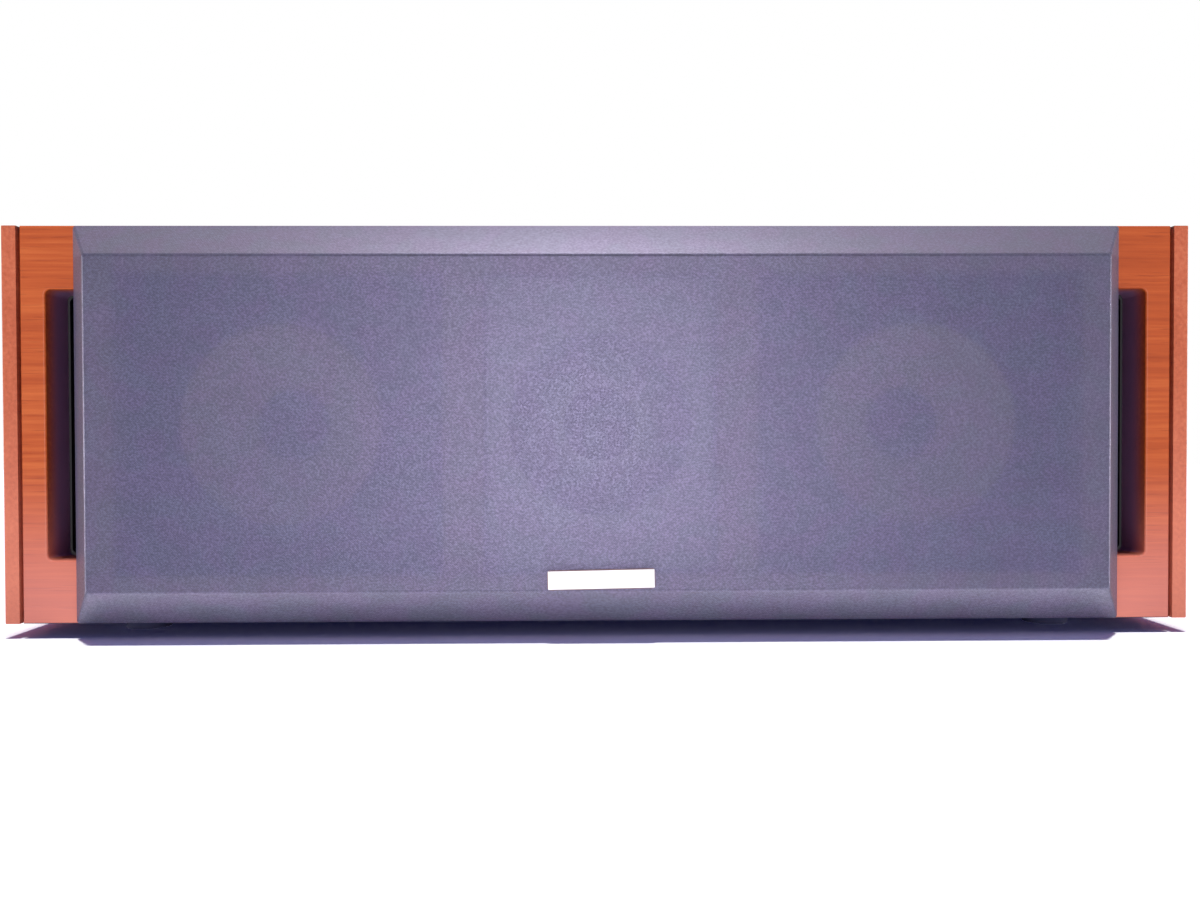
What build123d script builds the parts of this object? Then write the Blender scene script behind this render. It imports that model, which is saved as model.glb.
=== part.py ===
from build123d import *
from math import radians, sqrt, tan
import os

# A two-way center channel speaker: a wide wooden cabinet between two cheeks, a slot port near each end,
# two cone woofers and a dome tweeter behind a bevelled cloth grille, and a terminal cup at the back.
# Millimetres, +Z up, front towards -Y, origin on the floor under the middle of the speaker.

# Cabinet boards
overall_width = 480.0
cabinet_height = 160.0
cabinet_depth = 200.0
sleeve_board = 9.0
baffle_thickness = 18.0
rear_thickness = 12.0
rear_inset = 3.0
cheek_thickness = 6.0
shadow_gap = 1.4
shadow_gap_depth = 4.0
wood_edge_radius = 0.8

# Rubber feet
foot_height = 6.0
foot_radius = 10.0
foot_taper = 10.0
foot_side_inset = 46.0
foot_end_inset = 28.0

# Slot ports and their moulded ducts
slot_width = 14.0
slot_height = 109.0
slot_corner = 2.2
slot_margin = 17.4
duct_step = 0.9
duct_wall = 1.8
duct_length = 120.0
duct_flange = 3.0
duct_flange_lip = 8.0

# Grille: frame, cloth, pegs and badge
grille_width = 420.0
grille_depth = 15.5
grille_reveal = 0.6
grille_land = 2.0
bevel_height = 13.7
side_bevel = 10.0
grille_edge_radius = 1.5
cloth_thickness = 0.6
cloth_hem = 5.0
rail_flat = 6.2
stile_width = 20.0
crossbar_width = 16.0
crossbar_offset = 54.0
crossbar_recess = 2.0
crossbar_thickness = 7.0
peg_radius = 3.3
peg_length = 9.0
peg_root_radius = 2.6
peg_root_length = 7.0
peg_end_inset = 25.0
peg_nose = 1.0
socket_radius = 5.0
socket_depth = 11.0
socket_floor = 1.2
peg_clearance = 0.1
seat_clearance = 0.05
badge_length = 42.0
badge_width = 7.6
badge_thickness = 1.2
badge_corner = 1.0
badge_margin = 1.1
badge_tilt = 1.0
badge_pin_radius = 0.9
badge_pin_length = 4.5
badge_pin_spacing = 32.0

# Woofers
woofer_offset = 130.0
woofer_flange_radius = 62.0
woofer_flange_thickness = 4.0
woofer_rebate_clearance = 0.4
woofer_hole_clearance = 1.5
basket_shoulder_radius = 53.5
basket_waist_radius = 43.0
basket_waist_depth = 30.0
basket_depth = 38.0
basket_floor = 2.0
basket_wall = 2.0
basket_throat_radius = 19.0
basket_window_count = 6
basket_window_width = 30.0
basket_window_top = 6.5
basket_window_bottom = 25.5
tag_reach = 48.0
tag_width = 8.0
tag_thickness = 2.4
tag_depth = 34.0
spider_ledge_depth = 27.5
spider_ledge_radius = 33.0
spider_thickness = 0.6
spider_waves = 3
spider_wave_height = 1.6
spider_collar = 2.2
surround_land_depth = 1.2
surround_land_radius = 55.2
surround_edge_gap = 0.2
surround_thickness = 0.8
roll_outer_radius = 50.5
roll_radius = 3.6
cone_radius = 41.0
cone_lip = 3.0
cone_rim_depth = 4.4
cone_neck_depth = 25.4
cone_axial_wall = 1.2
dust_cap_radius = 15.0
dust_cap_rise = 4.5
dust_cap_thickness = 0.7
glue_line = 0.1
coil_bore_radius = 12.4
former_wall = 0.4
former_head = 1.0
winding_thickness = 0.6
winding_length = 11.0
winding_overhang = 3.0
pole_clearance = 0.3
gap_clearance = 0.5
top_plate_radius = 36.0
top_plate_thickness = 5.0
magnet_radius = 39.0
magnet_bore_radius = 20.0
magnet_thickness = 14.0
yoke_radius = 36.0
yoke_thickness = 5.0
pole_vent_radius = 3.0

# Tweeter
tweeter_plate_width = 112.0
tweeter_window_margin = 0.5
tweeter_plate_thickness = 3.0
tweeter_plate_corner = 4.0
tweeter_plate_clearance = 0.3
flare_radius = 37.0
flare_depth = 6.0
flare_bow = 1.2
throat_radius = 15.0
boss_radius = 40.0
boss_depth = 9.0
dome_radius = 12.2
dome_rise = 4.6
dome_thickness = 0.4
dome_roll_radius = 0.9
dome_flange_radius = 22.0
dome_seat_width = 0.8
tweeter_former_wall = 0.4
tweeter_coil_length = 5.0
tweeter_plate_ring_radius = 32.0
tweeter_plate_ring_thickness = 3.0
tweeter_magnet_radius = 32.0
tweeter_magnet_bore_radius = 17.0
tweeter_magnet_thickness = 8.0
tweeter_yoke_radius = 30.0
tweeter_yoke_thickness = 4.0
tweeter_pole_drop = 0.6

# Screws
screw_radius = 2.0
screw_length = 15.0
screw_head_radius = 3.7
screw_head_height = 2.2
screw_clearance = 0.1
pilot_spare = 1.0
woofer_screw_circle = 58.6
woofer_screw_count = 4
woofer_screw_turn = 45.0
tweeter_screw_margin = 6.0
cup_screw_length = 11.0
countersink_slope = 45.0

# Terminal cup, binding posts and knobs
cup_width = 70.0
cup_height = 46.0
cup_corner = 5.0
cup_wall = 2.0
cup_floor = 2.5
cup_depth = 28.0
cup_flange = 11.0
cup_flange_thickness = 2.5
cup_clearance = 0.3
post_spacing = 19.0
post_radius = 3.0
post_collar_radius = 5.6
post_collar_thickness = 2.0
post_stud_length = 13.2
post_tail_length = 10.0
plug_bore_radius = 2.0
plug_bore_depth = 9.8
wire_hole_radius = 1.2
wire_hole_height = 1.8
nut_radius = 5.0
nut_thickness = 2.6
nut_sides = 6
knob_radius = 6.4
knob_sides = 12
knob_length = 15.0
knob_gap = 0.3
knob_clearance = 0.1
knob_mouth_radius = 2.6
knob_end_wall = 1.4
knob_chamfer = 0.8

# Crossover and its leads
crossover_y = 10.0
crossover_length = 96.0
crossover_width = 64.0
crossover_thickness = 1.6
pillar_height = 6.0
pillar_radius = 3.0
pillar_pin_radius = 1.5
pillar_pin_rise = 1.4
pillar_inset = 4.0
spool_flange = 1.4
spool_lip = 1.2
spool_bore_radius = 5.0
woofer_inductor_radius = 18.0
woofer_inductor_height = 18.0
tweeter_inductor_radius = 11.0
tweeter_inductor_height = 13.0
woofer_capacitor_radius = 7.5
woofer_capacitor_length = 34.0
tweeter_capacitor_radius = 6.0
tweeter_capacitor_length = 26.0
capacitor_edge = 0.8
lead_radius = 1.4
bend_share = 0.45
lead_gap = 0.3
lead_exit = 18.0
input_lead_setback = 10.0
input_lead_shift = 8.0
input_lead_drop = 26.0
woofer_lead_x = 34.0
woofer_lead_setback = 27.0
woofer_lead_rise = 21.0
tweeter_lead_exit = 40.0
tweeter_lead_setback = 24.0
tweeter_lead_drop = 14.0
tweeter_lead_x = 5.0

# Damping pads on the rear board
pad_width = 120.0
pad_height = 110.0
pad_thickness = 14.0
pad_offset = 130.0
pad_corner = 8.0
pad_gap = 0.3

# Places that follow from the sizes
total_depth = cabinet_depth + grille_depth + badge_thickness
back_y = total_depth / 2
face_y = back_y - cabinet_depth
rear_face_y = back_y - rear_inset
base_z = foot_height
top_z = base_z + cabinet_height
mid_z = base_z + cabinet_height / 2
inner_floor_z = base_z + sleeve_board
box_half = overall_width / 2 - cheek_thickness - shadow_gap
slot_x = overall_width / 2 - slot_margin - slot_width / 2
grille_back_half = cabinet_height / 2 - grille_reveal
grille_front_half = grille_back_half - bevel_height
window_half = grille_front_half - rail_flat
tweeter_plate_height = 2 * (window_half - tweeter_window_margin)
peg_x = grille_width / 2 - peg_end_inset
peg_z = (window_half + grille_back_half - cloth_hem) / 2
former_radius = coil_bore_radius + former_wall
winding_radius = former_radius + winding_thickness
roll_inner_radius = cone_radius + cone_lip
magnet_depth = basket_depth + top_plate_thickness
yoke_depth = magnet_depth + magnet_thickness
crossover_top = pillar_height + crossover_thickness
cup_floor_y = rear_face_y - cup_depth + cup_floor
collar_y = cup_floor_y + post_collar_thickness
ends = ((-1, "left"), (1, "right"))

os.makedirs("parts", exist_ok=True)


def keep(piece, label):
    """Name a finished piece and write it to its own file."""
    piece.part.label = label
    export_step(piece.part, f"parts/{label}.step")


def front_plane(depth, x=0.0, z=mid_z):
    """Plane that looks out of the front, at a depth behind the baffle's face."""
    return Plane(origin=(x, face_y + depth, z), x_dir=(1, 0, 0), z_dir=(0, -1, 0))


def rear_plane(y, x=0.0):
    """Plane that looks out of the back, at mid height."""
    return Plane(origin=(x, y, mid_z), x_dir=(-1, 0, 0), z_dir=(0, 1, 0))


def turning_plane(x):
    """Half section through a driver's axis: radius, then height before the baffle's face."""
    return Plane(origin=(x, face_y, mid_z), x_dir=(1, 0, 0), z_dir=(0, 0, -1))


def driver_axis(x):
    """Axis of a driver, out of the front."""
    return Axis((x, face_y, mid_z), (0, -1, 0))


def crossover_plane(height, x=0.0, y=0.0):
    """Plane over the cabinet's inner floor, placed from the middle of the crossover board."""
    return Plane.XY.offset(inner_floor_z + height).move(Location((x, crossover_y + y, 0)))


# Cabinet sleeve: four boards with mitred ends, glued into a tube behind the baffle
def build_sleeve_board(label, corners):
    with BuildPart() as sleeve:
        with BuildSketch(front_plane(cabinet_depth, z=0)):
            Polygon(*corners, align=None)
        extrude(amount=cabinet_depth - baffle_thickness)
    keep(sleeve, label)


inner_half = box_half - sleeve_board
build_sleeve_board(
    "top_panel",
    [
        (-box_half, top_z),
        (box_half, top_z),
        (inner_half, top_z - sleeve_board),
        (-inner_half, top_z - sleeve_board),
    ],
)
build_sleeve_board(
    "bottom_panel",
    [
        (-box_half, base_z),
        (box_half, base_z),
        (inner_half, inner_floor_z),
        (-inner_half, inner_floor_z),
    ],
)
for side, name in ends:
    build_sleeve_board(
        f"{name}_side_wall",
        [
            (side * box_half, base_z),
            (side * box_half, top_z),
            (side * inner_half, top_z - sleeve_board),
            (side * inner_half, inner_floor_z),
        ],
    )

# Front baffle: one board over the sleeve, with the slots, driver cut-outs and peg holes
with BuildPart() as front_baffle:
    with BuildSketch(front_plane(0)):
        Rectangle(2 * box_half, cabinet_height)
        with Locations((-slot_x, 0), (slot_x, 0)):
            RectangleRounded(slot_width, slot_height, slot_corner, mode=Mode.SUBTRACT)
    extrude(amount=-baffle_thickness)
    fillet(front_baffle.faces().sort_by(Axis.Y)[0].edges(), wood_edge_radius)
    with BuildSketch(front_plane(0)):
        with Locations((-woofer_offset, 0), (woofer_offset, 0)):
            Circle(woofer_flange_radius + woofer_rebate_clearance)
    extrude(amount=-woofer_flange_thickness, mode=Mode.SUBTRACT)
    with BuildSketch(front_plane(0)):
        RectangleRounded(
            tweeter_plate_width + 2 * tweeter_plate_clearance,
            tweeter_plate_height + 2 * tweeter_plate_clearance,
            tweeter_plate_corner + tweeter_plate_clearance,
        )
    extrude(amount=-tweeter_plate_thickness, mode=Mode.SUBTRACT)
    with BuildSketch(front_plane(0)):
        with Locations((-woofer_offset, 0), (woofer_offset, 0)):
            Circle(basket_shoulder_radius + woofer_hole_clearance)
        Circle(boss_radius + woofer_hole_clearance)
    extrude(amount=-baffle_thickness, mode=Mode.SUBTRACT)
    with BuildSketch(front_plane(0)):
        for driver_x in (-woofer_offset, woofer_offset):
            with Locations((driver_x, 0)):
                with PolarLocations(woofer_screw_circle, woofer_screw_count, start_angle=woofer_screw_turn):
                    Circle(screw_radius + screw_clearance)
        with GridLocations(
            tweeter_plate_width - 2 * tweeter_screw_margin,
            tweeter_plate_height - 2 * tweeter_screw_margin,
            2,
            2,
        ):
            Circle(screw_radius + screw_clearance)
    extrude(amount=-screw_length - pilot_spare, mode=Mode.SUBTRACT)
    with BuildSketch(front_plane(0)):
        with GridLocations(2 * peg_x, 2 * peg_z, 2, 2):
            Circle(socket_radius + seat_clearance)
    extrude(amount=-socket_depth, mode=Mode.SUBTRACT)
keep(front_baffle, "front_baffle")

# Cheeks: a board at each end, stepped round its inner face so that a shadow groove is left
for side, name in ends:
    outer_x = side * overall_width / 2
    mid_y = back_y - cabinet_depth / 2
    with BuildPart() as cheek:
        with BuildSketch(Plane.YZ.offset(outer_x)):
            with Locations((mid_y, mid_z)):
                Rectangle(cabinet_depth, cabinet_height)
        extrude(amount=-side * cheek_thickness)
        with BuildSketch(Plane.YZ.offset(outer_x - side * cheek_thickness)):
            with Locations((mid_y, mid_z)):
                Rectangle(cabinet_depth - 2 * shadow_gap_depth, cabinet_height - 2 * shadow_gap_depth)
        extrude(amount=-side * shadow_gap)
        fillet(cheek.faces().sort_by(Axis.X)[0 if side < 0 else -1].edges(), wood_edge_radius)
    keep(cheek, f"{name}_cheek")

# Rear panel: set into the sleeve, with the cut-out for the terminal cup
cup_screw_x = cup_width + cup_flange
cup_screw_z = cup_height + cup_flange
with BuildPart() as rear_panel:
    with BuildSketch(rear_plane(rear_face_y)):
        Rectangle(2 * inner_half, cabinet_height - 2 * sleeve_board)
        RectangleRounded(
            cup_width + 2 * cup_clearance,
            cup_height + 2 * cup_clearance,
            cup_corner + cup_clearance,
            mode=Mode.SUBTRACT,
        )
    extrude(amount=-rear_thickness)
    with BuildSketch(rear_plane(rear_face_y)):
        with GridLocations(cup_screw_x, cup_screw_z, 2, 2):
            Circle(screw_radius + screw_clearance)
    extrude(amount=-cup_screw_length, mode=Mode.SUBTRACT)
keep(rear_panel, "rear_panel")

# Port ducts: moulded tubes glued behind the slots, with a flange on the three sides that have room
for side, name in ends:
    bore_width = slot_width - 2 * duct_step
    bore_height = slot_height - 2 * duct_step
    flange_x = side * (slot_x - duct_flange_lip / 2)
    with BuildPart() as duct:
        with BuildSketch(front_plane(baffle_thickness, side * slot_x)):
            RectangleRounded(
                bore_width + 2 * duct_wall, bore_height + 2 * duct_wall, slot_corner + duct_wall
            )
        extrude(amount=-duct_length)
        with BuildSketch(front_plane(baffle_thickness, flange_x)):
            RectangleRounded(
                bore_width + 2 * duct_wall + duct_flange_lip,
                bore_height + 2 * duct_wall + 2 * duct_flange_lip,
                slot_corner + duct_wall,
            )
        extrude(amount=-duct_flange)
        with BuildSketch(front_plane(baffle_thickness, side * slot_x)):
            RectangleRounded(bore_width, bore_height, slot_corner)
        extrude(amount=-duct_length, mode=Mode.SUBTRACT)
    keep(duct, f"{name}_port_duct")

# Feet: tapered rubber pads stuck under the bottom panel
foot_x = overall_width / 2 - foot_side_inset
foot_spread = cabinet_depth - 2 * foot_end_inset
with BuildPart() as feet:
    with BuildSketch(Plane.XY.offset(base_z)):
        with Locations((0, back_y - cabinet_depth / 2)):
            with GridLocations(2 * foot_x, foot_spread, 2, 2):
                Circle(foot_radius)
    extrude(amount=-foot_height, taper=foot_taper)
keep(feet, "feet")


# Grille: a block bevelled on all four sides, drawn in by the cloth for the frame under it
def grille_form(skin):
    side_view = Plane(origin=(0, face_y, mid_z), x_dir=(0, 0, 1), z_dir=(1, 0, 0))
    sections = (
        (side_view, grille_back_half, bevel_height, Mode.ADD),
        (turning_plane(0), grille_width / 2, side_bevel, Mode.INTERSECT),
    )
    with BuildPart() as form:
        for plane, half, bevel, mode in sections:
            with BuildSketch(plane):
                with BuildLine():
                    Polyline(
                        (-half, 0),
                        (-half, grille_land),
                        (bevel - half, grille_depth),
                        (half - bevel, grille_depth),
                        (half, grille_land),
                        (half, 0),
                        close=True,
                    )
                make_face()
                if skin:
                    offset(amount=-skin, kind=Kind.INTERSECTION, mode=Mode.REPLACE)
            extrude(amount=grille_width / 2, both=True, mode=mode)
        front_edges = [
            edge
            for edge in form.edges()
            if min(corner.Y for corner in edge.vertices()) < face_y - grille_depth / 2
        ]
        fillet(front_edges, grille_edge_radius - skin)
    return form.part


badge_z = mid_z - grille_front_half + badge_margin + badge_width / 2
badge_pin_z = mid_z - window_half - rail_flat / 2
cloth_form = grille_form(0.0)
frame_form = grille_form(cloth_thickness)
with BuildPart() as grille_frame:
    add(frame_form)
    window_inner = crossbar_offset + crossbar_width / 2
    window_outer = grille_width / 2 - cloth_thickness - stile_width
    window_centre = (window_inner + window_outer) / 2
    with BuildSketch(front_plane(0)):
        Rectangle(2 * window_outer, 2 * window_half)
    extrude(amount=grille_depth, mode=Mode.SUBTRACT)
    with BuildSketch(front_plane(crossbar_recess + crossbar_thickness + cloth_thickness - grille_depth)):
        with Locations((-crossbar_offset, 0), (crossbar_offset, 0)):
            Rectangle(crossbar_width, 2 * window_half + 2 * rail_flat)
    extrude(amount=crossbar_thickness)
    with BuildSketch(front_plane(-cloth_thickness)):
        with GridLocations(2 * peg_x, 2 * peg_z, 2, 2):
            Circle(peg_root_radius + seat_clearance)
    extrude(amount=peg_root_length, mode=Mode.SUBTRACT)
    with BuildSketch(front_plane(-grille_depth, z=badge_pin_z)):
        with GridLocations(badge_pin_spacing, 0, 2, 1):
            Circle(badge_pin_radius + screw_clearance)
    extrude(amount=-badge_pin_length - cloth_thickness, mode=Mode.SUBTRACT)
keep(grille_frame, "grille_frame")

# Grille cloth: stretched over the frame's front and sides and folded in behind it by a hem
with BuildPart() as grille_cloth:
    add(cloth_form)
    add(frame_form, mode=Mode.SUBTRACT)
    with BuildSketch(front_plane(0)):
        Rectangle(grille_width - 2 * cloth_hem, 2 * (grille_back_half - cloth_hem))
    extrude(amount=cloth_thickness, mode=Mode.SUBTRACT)
    with BuildSketch(front_plane(-grille_depth, z=badge_pin_z)):
        with GridLocations(badge_pin_spacing, 0, 2, 1):
            Circle(badge_pin_radius + screw_clearance)
    extrude(amount=-2 * cloth_thickness, mode=Mode.SUBTRACT)
keep(grille_cloth, "grille_cloth")

# Badge: a blank plate pinned through the cloth to the bottom rail, set slightly crooked
with BuildPart() as badge:
    with BuildSketch(front_plane(-grille_depth, z=badge_z)):
        RectangleRounded(badge_length, badge_width, badge_corner, rotation=badge_tilt)
    extrude(amount=badge_thickness)
    with BuildSketch(front_plane(-grille_depth, z=badge_pin_z)):
        with GridLocations(badge_pin_spacing, 0, 2, 1):
            Circle(badge_pin_radius)
    extrude(amount=-badge_pin_length)
keep(badge, "badge")

# Grille pegs: moulded studs whose roots sit in the frame's rails
with BuildPart() as grille_pegs:
    with BuildSketch(front_plane(-cloth_thickness)):
        with GridLocations(2 * peg_x, 2 * peg_z, 2, 2):
            Circle(peg_root_radius)
    extrude(amount=peg_root_length - seat_clearance)
    with BuildSketch(front_plane(-cloth_thickness)):
        with GridLocations(2 * peg_x, 2 * peg_z, 2, 2):
            Circle(peg_radius)
    extrude(amount=-peg_length)
    chamfer(grille_pegs.faces().group_by(Axis.Y)[-1].edges(), peg_nose)
keep(grille_pegs, "grille_pegs")

# Peg sockets: cups set flush in the baffle
with BuildPart() as grille_sockets:
    with BuildSketch(front_plane(0)):
        with GridLocations(2 * peg_x, 2 * peg_z, 2, 2):
            Circle(socket_radius)
    extrude(amount=-socket_depth)
    with BuildSketch(front_plane(0)):
        with GridLocations(2 * peg_x, 2 * peg_z, 2, 2):
            Circle(peg_radius + peg_clearance)
    extrude(amount=-socket_depth + socket_floor, mode=Mode.SUBTRACT)
keep(grille_sockets, "grille_sockets")


# Woofer basket: flange, open conical skirt, spider ledge and a floor that takes the magnet system
def build_basket(label, x, inward):
    skirt_top = basket_shoulder_radius - basket_wall
    with BuildPart() as basket:
        with BuildSketch(turning_plane(x)):
            with BuildLine():
                Polyline(
                    (woofer_flange_radius, 0),
                    (woofer_flange_radius, -woofer_flange_thickness),
                    (basket_shoulder_radius, -woofer_flange_thickness),
                    (basket_waist_radius, -basket_waist_depth),
                    (basket_waist_radius, -basket_depth),
                    (basket_throat_radius, -basket_depth),
                    (basket_throat_radius, basket_floor - basket_depth),
                    (spider_ledge_radius, basket_floor - basket_depth),
                    (spider_ledge_radius, -spider_ledge_depth),
                    (basket_waist_radius - basket_wall, -spider_ledge_depth),
                    (skirt_top, -woofer_flange_thickness),
                    (skirt_top, -surround_land_depth),
                    (surround_land_radius, -surround_land_depth),
                    (surround_land_radius, 0),
                    close=True,
                )
            make_face()
        revolve(axis=driver_axis(x))
        with BuildSketch(front_plane(basket_window_top, x)):
            with PolarLocations(basket_waist_radius + basket_wall, basket_window_count):
                Rectangle(2 * basket_shoulder_radius - 2 * basket_waist_radius, basket_window_width)
        extrude(amount=basket_window_top - basket_window_bottom, mode=Mode.SUBTRACT)
        with BuildSketch(front_plane(0, x)):
            with PolarLocations(woofer_screw_circle, woofer_screw_count, start_angle=woofer_screw_turn):
                Circle(screw_radius + screw_clearance)
        extrude(amount=-woofer_flange_thickness, mode=Mode.SUBTRACT)
        tag_middle = (tag_reach + basket_waist_radius - basket_wall) / 2
        with BuildSketch(front_plane(tag_depth - tag_thickness / 2, x)):
            with Locations((inward * tag_middle, 0)):
                Rectangle(tag_reach - basket_waist_radius + basket_wall, tag_width)
        extrude(amount=-tag_thickness)
    keep(basket, label)


# Surround: a rubber roll between the cone's lip and the basket's land
def build_surround(label, x):
    roll_middle = (roll_inner_radius + roll_outer_radius) / 2
    roll_half = (roll_outer_radius - roll_inner_radius) / 2
    roll_centre = -surround_land_depth - sqrt(roll_radius**2 - roll_half**2)
    land = -surround_land_depth
    rim = -cone_rim_depth
    flange_end = surround_land_radius - surround_edge_gap
    with BuildPart() as surround:
        with BuildSketch(turning_plane(x)):
            with Locations((roll_middle, roll_centre)):
                Circle(roll_radius + surround_thickness)
                Circle(roll_radius, mode=Mode.SUBTRACT)
            with Locations((roll_middle, land)):
                Rectangle(
                    2 * roll_half + 2 * surround_thickness,
                    2 * roll_radius,
                    align=(Align.CENTER, Align.MIN),
                    mode=Mode.INTERSECT,
                )
            with Locations((roll_outer_radius, land)):
                Rectangle(
                    flange_end - roll_outer_radius, surround_thickness, align=(Align.MIN, Align.MIN)
                )
            with Locations((roll_inner_radius, rim)):
                Rectangle(
                    surround_thickness, land - rim + surround_thickness, align=(Align.MAX, Align.MIN)
                )
                Rectangle(cone_lip, surround_thickness, align=(Align.MAX, Align.MIN))
        revolve(axis=driver_axis(x))
    keep(surround, label)


def cone_front(radius):
    """Height of the cone's front surface at a radius."""
    slope = (cone_neck_depth - cone_rim_depth) / (cone_radius - former_radius - glue_line)
    return -cone_rim_depth - (cone_radius - radius) * slope


# Cone: a straight-sided paper cone with a flat lip for the surround
def build_cone(label, x):
    neck_radius = former_radius + glue_line
    with BuildPart() as cone:
        with BuildSketch(turning_plane(x)):
            with BuildLine():
                Polyline(
                    (neck_radius, cone_front(neck_radius)),
                    (cone_radius, -cone_rim_depth),
                    (roll_inner_radius, -cone_rim_depth),
                    (roll_inner_radius, -cone_rim_depth - surround_thickness),
                    (cone_radius, -cone_rim_depth - cone_axial_wall),
                    (neck_radius, cone_front(neck_radius) - cone_axial_wall),
                    close=True,
                )
            make_face()
        revolve(axis=driver_axis(x))
    keep(cone, label)


# Dust cap: a shallow pressed dome glued over the coil
def build_dust_cap(label, x):
    rim = cone_front(dust_cap_radius) + glue_line
    sphere = (dust_cap_radius**2 + dust_cap_rise**2) / (2 * dust_cap_rise)
    with BuildPart() as dust_cap:
        with BuildSketch(turning_plane(x)):
            with Locations((0, rim + dust_cap_rise - sphere)):
                Circle(sphere)
                Circle(sphere - dust_cap_thickness, mode=Mode.SUBTRACT)
            with Locations((0, rim)):
                Rectangle(
                    dust_cap_radius, sphere, align=(Align.MIN, Align.MIN), mode=Mode.INTERSECT
                )
        revolve(axis=driver_axis(x))
    keep(dust_cap, label)


# Voice coil: the former from the cone's neck into the gap, and the winding on it
def build_voice_coil(label, x):
    former_top = cone_front(former_radius) + former_head
    winding_bottom = -magnet_depth - winding_overhang
    with BuildPart() as voice_coil:
        with BuildSketch(turning_plane(x)):
            with Locations((coil_bore_radius, winding_bottom)):
                Rectangle(former_wall, former_top - winding_bottom, align=(Align.MIN, Align.MIN))
                Rectangle(
                    former_wall + winding_thickness, winding_length, align=(Align.MIN, Align.MIN)
                )
        revolve(axis=driver_axis(x))
    keep(voice_coil, label)


# Spider: a corrugated cloth disc that centres the coil
def build_spider(label, x):
    start = former_radius + glue_line
    stop = basket_waist_radius - basket_wall - surround_edge_gap
    first = start + spider_collar
    last = spider_ledge_radius - spider_collar / 2
    step = (last - first) / (2 * spider_waves)
    level = spider_thickness - spider_ledge_depth
    waves = [(first + i * step, level + spider_wave_height * (i % 2)) for i in range(2 * spider_waves + 1)]
    upper = [(start, level), *waves, (stop, level)]
    lower = [(radius, height - spider_thickness) for radius, height in reversed(upper)]
    with BuildPart() as spider:
        with BuildSketch(turning_plane(x)):
            with BuildLine():
                Polyline(*upper, *lower, close=True)
            make_face()
        revolve(axis=driver_axis(x))
    keep(spider, label)


# Magnet system: top plate, ring magnet, and a yoke whose pole stands inside the coil
def build_motor(name, x):
    with BuildPart() as top_plate:
        with BuildSketch(front_plane(basket_depth, x)):
            Circle(top_plate_radius)
            Circle(winding_radius + gap_clearance, mode=Mode.SUBTRACT)
        extrude(amount=-top_plate_thickness)
    keep(top_plate, f"{name}_top_plate")
    with BuildPart() as magnet:
        with BuildSketch(front_plane(magnet_depth, x)):
            Circle(magnet_radius)
            Circle(magnet_bore_radius, mode=Mode.SUBTRACT)
        extrude(amount=-magnet_thickness)
    keep(magnet, f"{name}_magnet")
    with BuildPart() as yoke:
        with BuildSketch(front_plane(yoke_depth, x)):
            Circle(yoke_radius)
            Circle(pole_vent_radius, mode=Mode.SUBTRACT)
        extrude(amount=-yoke_thickness)
        with BuildSketch(front_plane(yoke_depth, x)):
            Circle(coil_bore_radius - pole_clearance)
            Circle(pole_vent_radius, mode=Mode.SUBTRACT)
        extrude(amount=yoke_depth - basket_depth)
    keep(yoke, f"{name}_yoke")


for side, name in ends:
    driver_x = side * woofer_offset
    woofer = f"{name}_woofer"
    build_basket(f"{woofer}_basket", driver_x, -side)
    build_surround(f"{woofer}_surround", driver_x)
    build_cone(f"{woofer}_cone", driver_x)
    build_dust_cap(f"{woofer}_dust_cap", driver_x)
    build_voice_coil(f"{woofer}_voice_coil", driver_x)
    build_spider(f"{woofer}_spider", driver_x)
    build_motor(woofer, driver_x)

# Woofer screws: pan heads on the flanges, shanks into the baffle
with BuildPart() as woofer_screws:
    for driver_x in (-woofer_offset, woofer_offset):
        with BuildSketch(front_plane(0, driver_x)):
            with PolarLocations(woofer_screw_circle, woofer_screw_count, start_angle=woofer_screw_turn):
                Circle(screw_head_radius)
        extrude(amount=screw_head_height)
        with BuildSketch(front_plane(0, driver_x)):
            with PolarLocations(woofer_screw_circle, woofer_screw_count, start_angle=woofer_screw_turn):
                Circle(screw_radius)
        extrude(amount=-screw_length)
keep(woofer_screws, "woofer_screws")

# Tweeter plate: a flush plate with a flared mouth, and a boss behind that carries the motor
with BuildPart() as tweeter_plate:
    with BuildSketch(front_plane(0)):
        RectangleRounded(tweeter_plate_width, tweeter_plate_height, tweeter_plate_corner)
    extrude(amount=-tweeter_plate_thickness)
    with BuildSketch(front_plane(0)):
        Circle(boss_radius)
    extrude(amount=-boss_depth)
    with BuildSketch(turning_plane(0)):
        with BuildLine():
            flare = SagittaArc((flare_radius, 0), (throat_radius, -flare_depth), flare_bow)
            Polyline(
                flare @ 1,
                (throat_radius, -boss_depth),
                (0, -boss_depth),
                (0, 0),
                flare @ 0,
            )
        make_face()
    revolve(axis=driver_axis(0), mode=Mode.SUBTRACT)
    with BuildSketch(front_plane(0)):
        with GridLocations(
            tweeter_plate_width - 2 * tweeter_screw_margin,
            tweeter_plate_height - 2 * tweeter_screw_margin,
            2,
            2,
        ):
            Circle(screw_radius + screw_clearance)
    extrude(amount=-tweeter_plate_thickness, mode=Mode.SUBTRACT)
keep(tweeter_plate, "tweeter_plate")

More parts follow.
